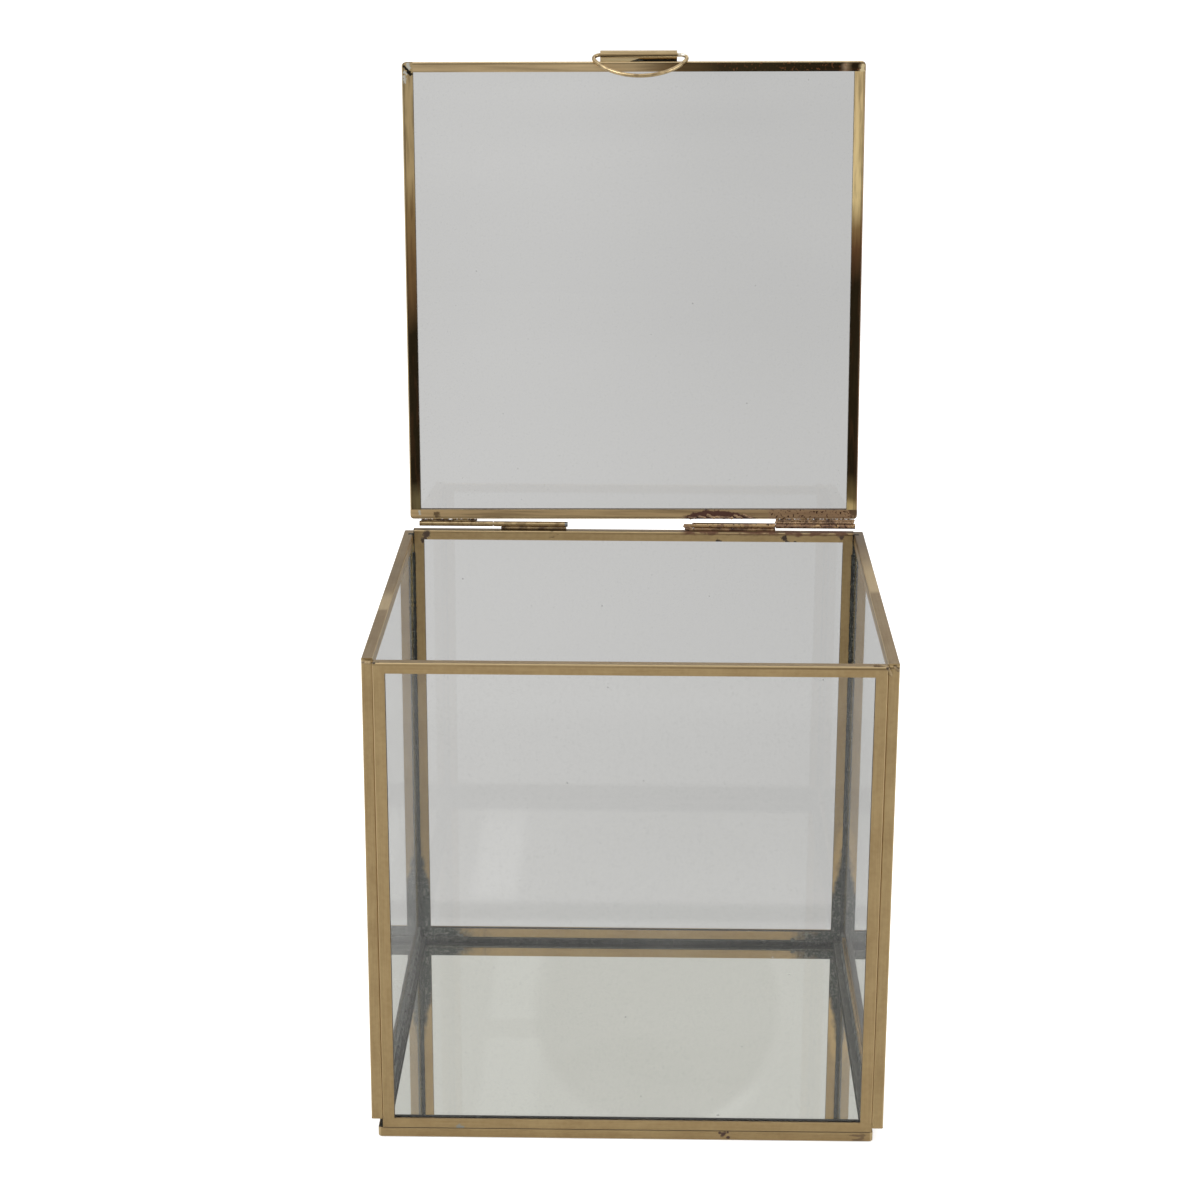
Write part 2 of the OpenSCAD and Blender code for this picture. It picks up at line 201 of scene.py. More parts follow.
material, brush = new_paint("floor_paper")
seen, through = brush.ray_kinds()
plain = brush.node("BsdfDiffuse", {}, {"Color": (0.8, 0.8, 0.79, 1)})
glow = brush.node("Emission", {}, {"Color": (1, 1, 1, 1), "Strength": 0.62})
white = brush.node("AddShader", {}, {0: plain, 1: glow})
dim = brush.node("BsdfDiffuse", {}, {"Color": (0.2, 0.2, 0.198, 1)})
place = brush.node("TexCoord", out="Object")
x, y, z = place.parts()
# Seen through the panes the paper glows grey with painted light in it: lighter towards the back and the left,
# a painted shadow behind the box, and a painted pool of light behind the left of the back pane
paper_and_painted_light = place.noise(0.9, 2) * 0.1 + 0.316 + y.step(1.0, 2.8) * 0.06 - x.step(-0.12, 0.12) * 0.05
box_shadow = y.step(0.088, 0.096) * y.step(0.112, 0.104) * 0.06 + y.step(0.1, 0.2) * y.step(0.34, 0.28) * 0.02
painted_light_patch = x.step(-0.06, -0.054) * x.step(-0.038, -0.044) * y.step(0.1, 0.12) * y.step(0.22, 0.17) * 0.045
paper_and_painted_light = paper_and_painted_light - box_shadow + painted_light_patch
dim_glow = brush.node("Emission", {}, {"Color": (1, 0.996, 0.985, 1), "Strength": paper_and_painted_light})
grey = brush.node("AddShader", {}, {0: dim, 1: dim_glow})
behind_glass = brush.node("MixShader", {}, {0: through, 1: plain, 2: grey})
brush.finish(brush.node("MixShader", {}, {0: seen, 1: behind_glass, 2: white}))

mesh = bpy.data.meshes.new("floor")
reach, floor_z = 6.0, -0.0002
points = [(x * reach, y * reach, floor_z) for x, y in ((-1, -1), (1, -1), (1, 1), (-1, 1))]
mesh.from_pydata(points, [], [(0, 1, 2, 3)])
mesh.materials.append(material)
floor = bpy.data.objects.new("floor", mesh)
bpy.context.scene.collection.objects.link(floor)

world = bpy.data.worlds.new("studio")
bpy.context.scene.world = world
world.use_nodes = True
world.node_tree.nodes.clear()
sky = Paint(world.node_tree)
seen, through = sky.ray_kinds()
height = sky.node("TexCoord", out="Generated").parts()[2]
surround = height.step(-0.1, 0.9).blend((0.42, 0.42, 0.42), (0.8, 0.8, 0.8))
colour = seen.blend(through.blend(surround, (0.57, 0.575, 0.57)), (1.0, 1.0, 1.0))
sky.node("OutputWorld", {}, {"Surface": sky.node("Background", {}, {"Color": colour, "Strength": 1.0})})


# ---- Brass strip of the walls ----
# Thin brass sheet folded into channel, lacquered to a satin tan that has browned in places. The slot inside
# the fold is painted black as shade, the folds get a painted highlight and faces that look up painted shade,
# and flux has smoked the inside corners grey where the walls are soldered.
TAN, BROWN, FOLD_HIGHLIGHT = (0.42, 0.305, 0.155), (0.33, 0.228, 0.112), (0.66, 0.51, 0.29)
SLOT_SHADE, GRIME_AND_SHADE = (0.02, 0.018, 0.014), (0.05, 0.03, 0.018)
SOOT, SOOT_SPECK = (0.012, 0.015, 0.011), (0.3, 0.3, 0.26)
FRONT_FACE, SIDE_FACE, BASE_TOP = 0.0717, 0.075, 0.0031


def brass(name, run, panel=None, stains=None):
    """Satin brass with its grain along axis run. panel is the unit normal into a framed panel and how
    far its near face lies along it. stains(place, colour, rough, metal) returns these three again."""
    material, brush = new_paint(name)
    place = brush.node("TexCoord", out="Object")
    normal = brush.node("TexCoord", out="Normal")
    stretch = [1.0, 1.0, 1.0]
    stretch["xyz".index(run)] = 0.03
    grain = place.noise(2600, 3, stretch)
    cloud = place.noise(70, 4)
    mottle = place.noise(700, 3)
    colour = (cloud * 0.5 + mottle * 0.35 + grain * 0.35 - 0.1).step(0.3, 0.75).blend(TAN, BROWN)
    rough = grain * 0.14 + cloud * 0.1 + 0.27
    metal = 1.0
    nx, ny, nz = normal.parts()
    # The faces of the folds, between the flat faces, get a painted highlight: pale and a little less rough
    fold_highlight = abs(nx).most(abs(ny)).most(abs(nz)).step(0.985, 0.86) * (mottle * 0.5 + 0.5)
    colour = fold_highlight.blend(colour, FOLD_HIGHLIGHT)
    rough = rough - fold_highlight * 0.08
    # Faces that look up are painted darker: painted shade
    colour = (nz.step(0.7, 0.95) * 0.36).blend(colour, GRIME_AND_SHADE)
    if stains:
        colour, rough, metal = stains(place, colour, rough, metal)
    if panel:
        facing, start = panel
        depth = place.along(facing) - start
        side = abs(normal.along(facing))
        # Inside the channel, behind the pane's edge, the slot is painted black as shade
        slot_shade = depth.step(0.00046, 0.0005) * depth.step(0.00284, 0.0028) * side.step(0.4, 0.6)
        colour = slot_shade.blend(colour, SLOT_SHADE)
        rough = rough + slot_shade * 0.5
        metal = (1 - slot_shade) * metal
    bump = brush.node("Bump", {}, {"Strength": 0.25, "Distance": 0.00004, "Height": grain + cloud * 2})
    sockets = {"Base Color": colour, "Roughness": rough, "Metallic": metal, "Normal": bump}
    brush.finish(brush.node("BsdfPrincipled", {}, sockets))
    return material


def dress(material, *nodes):
    """The finish goes on CAD parts whose shape is right as it is."""
    for name in nodes:
        slots = frame["nodes"][name].data.materials
        slots.clear()
        slots.append(material)


def smoked_corners(place, colour, rough, metal):
    """Flux smoke in the inside corners: black low down, pointed like a flame above, with pale specks,
    and a stain along the foot. Brown grime fills the seam over the base and the front corners' pinholes,
    and the scratches that the solder left at the front right."""
    x, y, z = place.parts()
    from_side, from_end, up = 0.0717 - abs(x), 0.0684 - abs(y), z - BASE_TOP
    inside = from_side.step(-0.0018, -0.0016) * from_end.step(-0.0018, -0.0016)
    at_back = y.step(-0.03, 0.0)
    broken = place.noise(330, 5) - 0.5
    flame = from_side.most(from_end) + (up - 0.012).most(0.0) * 0.2 + broken * 0.004
    along_back = from_end + from_side * 0.24 + up * 0.3 + broken * 0.005
    foot = from_side + up * 0.15 + x.step(-0.06, 0.0) * 0.002 + broken * 0.002
    crack = from_side.step(0.0005, 0.0002) * from_end.step(0.0005, 0.0002)
    black = flame.step(0.0056, 0.0034).most(along_back.step(0.006, 0.0026)).most(crack) * at_back * inside
    grey = foot.step(0.0016, 0.0008) * inside
    gilt = flame.step(0.0085, 0.0065) * x.step(0.0, 0.01) * at_back * (1 - black) * inside * 0.4
    colour = gilt.blend(colour, (0.72, 0.5, 0.22))
    mask = black.most(grey)
    speck = place.noise(2200, 2).step(0.52, 0.64) * mask * 0.5
    soot = from_end.step(0.0004, 0.0009).blend(SOOT, (0.05, 0.053, 0.046))
    colour = speck.blend(mask.blend(colour, soot), SOOT_SPECK)
    # Along the top rails' outer fold: a painted highlight, with a painted shade line just below it
    under_fold_shade = z.step(0.1457, 0.1459) * z.step(0.14635, 0.1461) * (x.step(-0.03, 0.06) * 0.4 + 0.15)
    fold = z.step(0.1463, 0.1465) * z.step(0.14669, 0.14665) * 0.5
    colour = fold.blend(under_fold_shade.blend(colour, GRIME_AND_SHADE), FOLD_HIGHLIGHT)
    seam = abs(z - BASE_TOP).step(0.00026, 0.0001)
    for hole, size in (
        ((-73.9, -71.7, 146.8), 0.7), ((-71.3, -71.5, 146.7), 0.6), ((73.1, -71.6, 146.8), 0.9),
        ((71.9, -71.7, 146.3), 0.6), ((74.3, -71.6, 146.5), 0.5), ((-67.6, 68.3, 145.6), 1.5),
        ((-68.2, 68.3, 143.4), 1.4), ((67.6, 68.3, 145.4), 1.1),
    ):
        seam = seam.most(place.spot(hole, size))
    for start_x, start_z, end_x, end_z, size in (
        (72.6, 146.7, 74.3, 146.6, 0.35), (71.3, 146.4, 72.9, 144.9, 0.35),
        (73.0, 146.2, 71.9, 145.2, 0.25), (71.9, 144.7, 72.8, 144.3, 0.4),
    ):
        scratch = place.stroke((start_x, -71.7, start_z), (end_x, -71.7, end_z), size)
        seam = seam.most(scratch)
    smear = place.spot((-49, -71.7, 3.2), 1.2)
    colour = smear.blend(seam.blend(colour, GRIME_AND_SHADE), SOOT_SPECK)
    return colour, rough + mask * 0.45 + seam * 0.3, 1 - (mask * 0.9).most(seam)


def front_foot(place, colour, rough, metal):
    """Behind the glass the front foot rail is painted black as shade: a black line along the mirror."""
    colour, rough, metal = smoked_corners(place, colour, rough, metal)
    shade_line = place.parts()[1].step(-0.0712, -0.0711)
    return shade_line.blend(colour, SLOT_SHADE), rough + shade_line * 0.4, (1 - shade_line) * metal


def side_upright(place, colour, rough, metal):
    """The side walls' back stiles are a paler, greener brass than the rest."""
    pale = place.parts()[1].step(0.0, 0.02) * 0.65
    return smoked_corners(place, pale.blend(colour, (0.62, 0.5, 0.23)), rough, metal)


def rusty_rail(place, colour, rough, metal):
    """Below the right hinge the torch has left a brown crust on the back wall's rail, and black spots."""
    colour, rough, metal = smoked_corners(place, colour, rough, metal)
    x, y, z = place.parts()
    broken = place.noise(900, 4, (0.4, 1, 1)) - 0.5
    reach = x.step(0.014, 0.018) * x.step(0.0745, 0.071)
    patchy = place.noise(260, 3).step(0.4, 0.5) * 0.7 + 0.3
    crust = (z + broken * 0.003).step(0.1452, 0.1466) * reach * patchy
    # Painted light and shade: the rail's front face is painted lighter, its top darker
    colour = z.step(0.1466, 0.1464).blend(colour.scaled(0.8), colour.scaled(1.3))
    black = place.spot((27.8, 68.4, 143.6), 1.0).most(place.spot((49.2, 68.4, 144.9), 1.2))
    black = black.most(place.spot((50.0, 68.4, 143.7), 1.0)).most(place.spot((52.6, 68.4, 143.6), 0.6))
    faint = place.spot((-26, 68.4, 145.6), 2.2) * broken.step(-0.05, 0.1) * 0.7
    colour = black.most(faint).blend(crust.blend(colour, (0.13, 0.06, 0.03)), GRIME_AND_SHADE)
    return colour, rough + crust * 0.3, metal - crust.most(black) * 0.8


for wall, facing in (("front", (0, 1, 0)), ("back", (0, -1, 0))):
    low_stain, high_stain = (front_foot, smoked_corners) if wall == "front" else (smoked_corners, rusty_rail)
    panel = (facing, -FRONT_FACE)
    dress(brass(wall + "_foot_brass", "x", panel, low_stain), wall + "_bottom_channel")
    dress(brass(wall + "_rail_brass", "x", panel, high_stain), wall + "_top_channel")
    upright = brass(wall + "_upright_brass", "z", panel, smoked_corners)
    dress(upright, wall + "_left_channel", wall + "_right_channel")
for wall, facing in (("left", (1, 0, 0)), ("right", (-1, 0, 0))):
    panel = (facing, -SIDE_FACE)
    level = brass(wall + "_level_brass", "y", panel, smoked_corners)
    upright = brass(wall + "_upright_brass", "z", panel, side_upright)
    dress(level, wall + "_bottom_channel", wall + "_top_channel")
    dress(upright, wall + "_back_channel", wall + "_front_channel")


# ---- Base strip ----
# One strip folded over the mirror's edge all the way round, its corners worked round by hand.
# The folds are soft, so that they catch the light.
def mesh_piece(name, points, faces, material, body, smooth=True):
    mesh = bpy.data.meshes.new(name)
    mesh.from_pydata([tuple(MM * c for c in p) for p in points], [], faces)
    mesh.materials.append(material)
    mesh.polygons.foreach_set("use_smooth", [smooth] * len(mesh.polygons))
    piece = bpy.data.objects.new(name, mesh)
    bpy.context.scene.collection.objects.link(piece)
    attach(piece, body)
    return piece


def rounded_loop(half_w, half_d, radius, z, steps=8):
    """A level rectangle with round corners, anticlockwise from above."""
    loop = []
    for quarter, (sx, sy) in enumerate(((1, -1), (1, 1), (-1, 1), (-1, -1))):
        for i in range(steps + 1):
            turn = math.radians(90 * (quarter - 1) + 90 * i / steps)
            mid_x, mid_y = sx * (half_w - radius), sy * (half_d - radius)
            loop.append((mid_x + radius * math.cos(turn), mid_y + radius * math.sin(turn), z))
    return loop


strip, fold = 0.5, 0.4
low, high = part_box("base_channel")
half_w, half_d, base_h = (high.x - low.x) / 2 / MM, high.y / MM, high.z / MM
base_x = (high.x + low.x) / 2 / MM
corner, flange = 1.2, 3.1
# Inset and height of the section's outline, from the upper flange's edge round to the lower one
# and back inside
section = [(flange, base_h), (fold, base_h)]
for degrees in (15, 30, 45, 60, 75, 90):
    turn = math.radians(degrees)
    section.append((fold - fold * math.sin(turn), base_h - fold + fold * math.cos(turn)))
for degrees in (0, 15, 30, 45, 60, 75, 90):
    turn = math.radians(degrees)
    section.append((fold - fold * math.cos(turn), fold - fold * math.sin(turn)))
section += [(flange, 0), (flange, strip), (strip, strip), (strip, base_h - strip), (flange, base_h - strip)]
rings = [rounded_loop(half_w - u, half_d - u, max(corner - u, 0.05), z) for u, z in section]
count = len(rings[0])
points = [(x + base_x, y, z) for ring in rings for x, y, z in ring]
faces = []
for r in range(len(rings)):
    a, b = r * count, (r + 1) % len(rings) * count
    faces += [(a + i, b + i, b + (i + 1) % count, a + (i + 1) % count) for i in range(count)]


def base_stain(place, colour, rough, metal):
    """Inside the fold the base strip is painted black as shade, mottled, with pale specks of dust. Outside
    there is a rust star and a grey-brown smear or two."""
    x, y, z = place.parts()
    inner_w, inner_d = (half_w - 0.45) * MM, (half_d - 0.45) * MM
    inside = abs(x - base_x * MM).step(inner_w, inner_w - 0.00005) * abs(y).step(inner_d, inner_d - 0.00005)
    grit = place.noise(1500, 3)
    # The inside of the fold is painted near black and mottled: a painted shade
    dark = grit.step(0.3, 0.7).blend((0.012, 0.013, 0.009), (0.05, 0.048, 0.034))
    speck = place.noise(2700, 1).step(0.6, 0.7) * inside * 0.6
    star = place.spot((28.4, -71.4, 1.9), 1.1).most(place.spot((29.7, -71.4, 1.0), 0.7, 0.5))
    star = star.most(place.spot((27.2, -71.4, 2.4), 0.6, 0.5)).most(place.spot((29.6, -71.4, 2.6), 0.45, 0.5))
    smear = place.spot((67.5, -71.4, 1.6), 3.0) * place.noise(800, 3, (0.3, 1, 1)).step(0.5, 0.6) * 0.6
    seam = z.step(0.0028, 0.003) * (1 - inside)
    rust = star.most(smear)
    colour = speck.blend(inside.blend(colour, dark), SOOT_SPECK)
    colour = rust.blend((seam * 0.9).blend(colour, GRIME_AND_SHADE), (0.06, 0.025, 0.014))
    return colour, rough + inside * 0.4, 1 - (inside * 0.9).most(rust)


base_brass = brass("base_brass", "x", None, base_stain)
base_strip = mesh_piece("base_strip", points, faces, base_brass, "box")
base_strip.data.flip_normals()
base_strip.data.set_sharp_from_angle(angle=math.radians(40))
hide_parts("base_channel")

# ---- Mirror ----
# A pane silvered on its underside, so that what it mirrors seems to lie below its face. It is faintly
# green, and dusty, and painted reflections lie on it: a darker ellipse in a paler surround, a bright rim and
# a pale patch.
low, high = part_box("base_mirror")
half_w, half_d = (high.x - low.x) / 2 / MM, high.y / MM
silver_z = 1.25
rings = [
    rounded_loop(half_w - u, half_d - u, 0.65 - u * 0.5, z)
    for u, z in ((0.15, low.z / MM), (0, low.z / MM + 0.15), (0, silver_z - 0.05), (0.05, silver_z))
]
points = [(x + base_x, y, z) for ring in rings for x, y, z in ring]
faces = [tuple(range(count))[::-1], tuple(range(3 * count, 4 * count))]
for a in (0, count, 2 * count):
    faces += [(a + i, a + (i + 1) % count, a + count + (i + 1) % count, a + count + i) for i in range(count)]

material, brush = new_paint("mirror_silver")
place = brush.node("TexCoord", out="Object")
haze = place.noise(18, 4).step(0.45, 0.75)
cell = brush.node("TexVoronoi", {}, {"Vector": place, "Scale": 90})
dust = cell.step(0.05, 0.03) * place.noise(70, 0).step(0.5, 0.56)
x, y, z = place.parts()
# Painted reflection: paler outside a large ellipse, a pale patch to the left, a bright rim at the ellipse's
# front right
ring = (x - 0.0085) * (x - 0.0085) * (1 / 0.04 ** 2) + (y - 0.03) * (y - 0.03) * (1 / 0.095 ** 2)
reflection_patch = x.step(-0.047, -0.043) * x.step(-0.024, -0.031) * abs(y - 0.001).step(0.005, 0.009)
reflection_rim = ring.step(0.95, 1.05) * ring.step(1.3, 1.08) * x.step(0.01, 0.03) * y.step(-0.03, -0.05)
pale = ring.step(0.88, 1.12) * 0.5 + reflection_patch * 0.4 + reflection_rim * 0.5
silver = pale.blend(haze.blend((0.905, 0.9, 0.83), (0.87, 0.866, 0.795)), (1.0, 1.0, 0.93))
shiny = brush.node("BsdfPrincipled", {}, {"Base Color": silver, "Metallic": 1.0, "Roughness": 0.015})
dusty = brush.node("BsdfPrincipled", {}, {"Base Color": (0.3, 0.3, 0.27, 1), "Roughness": 0.9})
brush.finish(brush.node("MixShader", {}, {0: dust * 0.7, 1: shiny, 2: dusty}))
mirror = mesh_piece("mirror_pane", points, faces, material, "box", smooth=False)
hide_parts("base_mirror")

# ---- Panes ----
# Clear float glass, two millimetres thick, with a thin film of dust, a few specks and fine scratches.
# Lamps shine straight through it.
GLASS_TINT = (0.992, 0.992, 0.987)


def glass(name, seed):
    material, brush = new_paint(name)
    place = brush.node("TexCoord", out="Object")
    moved = brush.node("VectorMath", {"operation": "ADD"}, {0: place, 1: (seed, 0.3 * seed, -seed)})
    speck = brush.node("TexVoronoi", {}, {"Vector": moved, "Scale": 85}).step(0.028, 0.012)
    grit = brush.node("TexVoronoi", {}, {"Vector": moved, "Scale": 210}).step(0.045, 0.02)
    speck = speck * moved.noise(60, 0).step(0.5, 0.56)
    speck = speck.most(grit * moved.noise(45, 0).step(0.56, 0.62) * 0.6)
    film = moved.noise(22, 4).step(0.4, 0.9) * 0.03 + moved.noise(1300, 2).step(0.55, 0.75) * 0.05
    clear = {"Base Color": (*GLASS_TINT, 1), "Transmission Weight": 1.0, "Roughness": 0.0, "IOR": 1.5}
    clear = brush.node("BsdfPrincipled", {}, clear)
    dust_tone = speck.blend((0.6, 0.6, 0.58), (0.2, 0.2, 0.19))
    dust = brush.node("BsdfPrincipled", {}, {"Base Color": dust_tone, "Roughness": 0.8})
    dusty = brush.node("MixShader", {}, {0: film.most(speck * 0.55), 1: clear, 2: dust})
    shadow = Paint(brush.tree, brush.node("LightPath").socket.node.outputs["Is Shadow Ray"])
    passed = brush.node("BsdfTransparent", {}, {"Color": (0.96, 0.97, 0.965, 1)})
    brush.finish(brush.node("MixShader", {}, {0: shadow, 1: dusty, 2: passed}))
    return material


for seed, wall in enumerate(("front", "back", "left", "right", "lid")):
    dress(glass(wall + "_pane_glass", 0.37 * seed), wall + "_glass")

# ---- Solder of the box ----
# Grey tin solder run by hand into the inside corners, in overlapping beads that wander a little.
# The tree lays the beads along a line: points at a pitch, moved and sized at random, melted into one skin.
beads = bpy.data.node_groups.new("solder_beads", "GeometryNodeTree")
sockets = {}
for name, kind in (
    ("Line", "Geometry"), ("Bead", "Float"), ("Pitch", "Float"), ("Wander", "Vector"), ("Grain", "Float"),
    ("Seed", "Int"), ("Finish", "Material"),
):
    made = beads.interface.new_socket(name, in_out="INPUT", socket_type="NodeSocket" + kind)
    sockets[name] = made.identifier
beads.interface.new_socket("Solder", in_out="OUTPUT", socket_type="NodeSocketGeometry")


def step_of(kind, settings, **inputs):
    """One node of the bead tree. An input is a socket to link or a value to set."""
    made = beads.nodes.new(kind)
    for name, value in settings.items():
        setattr(made, name, value)
    for name, value in inputs.items():
        socket = next(s for s in made.inputs if s.name == name.replace("_", " ") and s.enabled)
        if isinstance(value, bpy.types.NodeSocket):
            beads.links.new(value, socket)
        else:
            socket.default_value = value
    return made


given = beads.nodes.new("NodeGroupInput").outputs
line = step_of("GeometryNodeMeshToCurve", {}, Mesh=given["Line"]).outputs[0]
line = step_of("GeometryNodeResampleCurve", {"mode": "LENGTH"}, Curve=line, Length=given["Pitch"]).outputs[0]
points = step_of("GeometryNodeCurveToPoints", {"mode": "EVALUATED"}, Curve=line).outputs["Points"]
back = step_of("ShaderNodeVectorMath", {"operation": "SCALE"}, Vector=given["Wander"], Scale=-1.0).outputs[0]
random = {"data_type": "FLOAT_VECTOR"}
span = {"Min": back, "Max": given["Wander"], "Seed": given["Seed"]}
shift = step_of("FunctionNodeRandomValue", random, **span).outputs[0]
points = step_of("GeometryNodeSetPosition", {}, Geometry=points, Offset=shift).outputs[0]
small = step_of("ShaderNodeMath", {"operation": "MULTIPLY"}, Value=given["Bead"]).outputs[0]
small.node.inputs[1].default_value = 0.62
span = {"Min": small, "Max": given["Bead"], "Seed": given["Seed"]}
size = step_of("FunctionNodeRandomValue", {"data_type": "FLOAT"}, **span)
size = next(o for o in size.outputs if o.enabled)
melted = step_of(
    "GeometryNodePointsToVolume", {"resolution_mode": "VOXEL_SIZE"},
    Points=points, Voxel_Size=given["Grain"], Radius=size,
).outputs[0]
skin = step_of(
    "GeometryNodeVolumeToMesh", {"resolution_mode": "VOXEL_SIZE"},
    Volume=melted, Voxel_Size=given["Grain"], Threshold=0.1,
).outputs[0]
skin = step_of("GeometryNodeSetShadeSmooth", {}, Geometry=skin).outputs[0]
skin = step_of("GeometryNodeRealizeInstances", {}, Geometry=skin).outputs[0]
skin = step_of("GeometryNodeSetMaterial", {}, Geometry=skin, Material=given["Finish"]).outputs[0]
beads.links.new(skin, beads.nodes.new("NodeGroupOutput").inputs[0])


def solder(
    name, lines, bead, material, body="box", stands_for=(),
    pitch=0.3, wander=(0.1, 0.1, 0.1), grain=0.14, seed=1,
):
    """Beads of solder along lines, each a list of points in millimetres."""
    mesh = bpy.data.meshes.new(name)
    points = [tuple(MM * c for c in p) for line in lines for p in line]
    edges, start = [], 0
    for line in lines:
        edges += [(start + i, start + i + 1) for i in range(len(line) - 1)]
        start += len(line)
    mesh.from_pydata(points, edges, [])
    piece = bpy.data.objects.new(name, mesh)
    bpy.context.scene.collection.objects.link(piece)
    run = piece.modifiers.new("beads", "NODES")
    run.node_group = beads
    values = {"Bead": bead * MM, "Pitch": pitch * MM, "Wander": [c * MM for c in wander], "Grain": grain * MM}
    values |= {"Seed": seed, "Finish": material}
    for key, value in values.items():
        run[sockets[key]] = value
    piece.update_tag()
    bpy.context.view_layer.update()
    made = bpy.data.meshes.new_from_object(piece.evaluated_get(bpy.context.evaluated_depsgraph_get()))
    piece.modifiers.clear()
    piece.data = made
    made.name = name
    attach(piece, body)
    if stands_for:
        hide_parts(*stands_for)
    return piece


def solder_paint(name, pale, dark, metal=0.7, other=None):
    """Blotched tin. other is a mask over the place and the pale and dark tones where it is 1."""
    material, brush = new_paint(name)
    place = brush.node("TexCoord", out="Object")
    blot = place.noise(420, 4).step(0.38, 0.66)
    fine = place.noise(2400, 2)
    tone = blot.blend(pale, dark)
    if other:
        mask_of, other_pale, other_dark = other
        tone = mask_of(place).blend(tone, blot.blend(other_pale, other_dark))
    sockets = {
        "Base Color": tone,
        "Roughness": blot * 0.25 + fine * 0.2 + 0.35,
        "Metallic": metal - blot * metal * 0.5,
        "Normal": brush.node("Bump", {}, {"Strength": 0.4, "Distance": 0.0001, "Height": fine + blot}),
    }
    brush.finish(brush.node("BsdfPrincipled", {}, sockets))
    return material


corner_tin = solder_paint(
    "corner_tin", (0.018, 0.02, 0.014), (0.006, 0.007, 0.005), 0.1,
    (lambda place: place.parts()[2].step(0.1425, 0.1435), (0.36, 0.26, 0.13), (0.12, 0.075, 0.04)),
)
inner_x, inner_y = 71.55, 68.25
corners = []
for x in (-inner_x, inner_x):
    for y in (-inner_y, inner_y):
        corners.append([(x, y, 3.4), (x, y, 139)])
# What was left over at the front corners was dragged over the top: a ridge and a spur to the right,
# lumps to the left
corners += [
    [(71.4, -71.15, 146.6), (72.0, -71.15, 145.4), (72.6, -71.15, 144.0)],
    [(68.0, -71.0, 146.8), (70.6, -71.0, 146.6)], [(73.4, -71.0, 146.5), (74.4, -71.1, 145.6)],
    [(-74.4, -71.1, 146.6), (-72.4, -71.0, 146.6)], [(-70.0, -71.15, 146.3), (-69.3, -71.15, 144.4)],
]
beadlets = {"pitch": 0.3, "wander": (0.04, 0.04, 0.15), "grain": 0.155, "seed": 3}
solder("corner_solder_beads", corners, 0.52, corner_tin, stands_for=["wall_corner_solder"], **beadlets)
foot_tin = solder_paint(
    "foot_tin", (0.09, 0.092, 0.08), (0.02, 0.021, 0.017), 0.3,
    (lambda place: place.parts()[1].step(-0.0665, -0.067), (0.012, 0.012, 0.01), (0.004, 0.004, 0.003)),
)
feet = [[(sx * 71.5, -66, 3.5), (sx * 71.5, 66, 3.5)] for sx in (-1, 1)]
feet += [[(sx * 71.65, -66, 4.3), (sx * 71.65, 66, 4.3)] for sx in (-1, 1)]
feet += [[(-58.6, 68.2, 4.0), (-57.6, 68.2, 3.7)], [(55.0, 68.2, 3.6), (55.6, 68.2, 3.3)]]
feet += [[(-68, -68.2, 4.5), (68, -68.2, 4.7)]]
solder(
    "foot_solder_beads", feet, 0.55, foot_tin, stands_for=["side_foot_solder"],
    wander=(0.06, 0.2, 0.1), grain=0.16, seed=5,
)

# ---- Lid strips ----
# The same folded strip. Its polished inner face gets a painted reflection, streaked along the strip: tan at
# the ends, nearly black along half of the free edge and down both sides, brown along the hinge.
lean = math.radians(4.15)
hinge = Vector(next(j for j in frame["joints"] if j["name"] == "lid_hinge")["pos_m"])
lid_frame = (
    Matrix.Translation(hinge) @ Matrix.Rotation(-lean, 4, "X")
    @ Matrix.Translation((0, -0.0011, 0.0021)) @ Matrix.Rotation(math.radians(-0.4), 4, "Y")
)
lid_across, lid_facing, lid_up = (Vector(column[:3]) for column in tuple(lid_frame.col)[:3])
lid_origin = lid_frame.to_translation()
lid_w, lid_l = 145.3, 145.5


def on_lid(x, depth, up):
    """A point of the open lid in millimetres: across from its middle, in from its inner face, up it."""
    return lid_frame @ Vector((MM * x, MM * depth, MM * up)) / MM


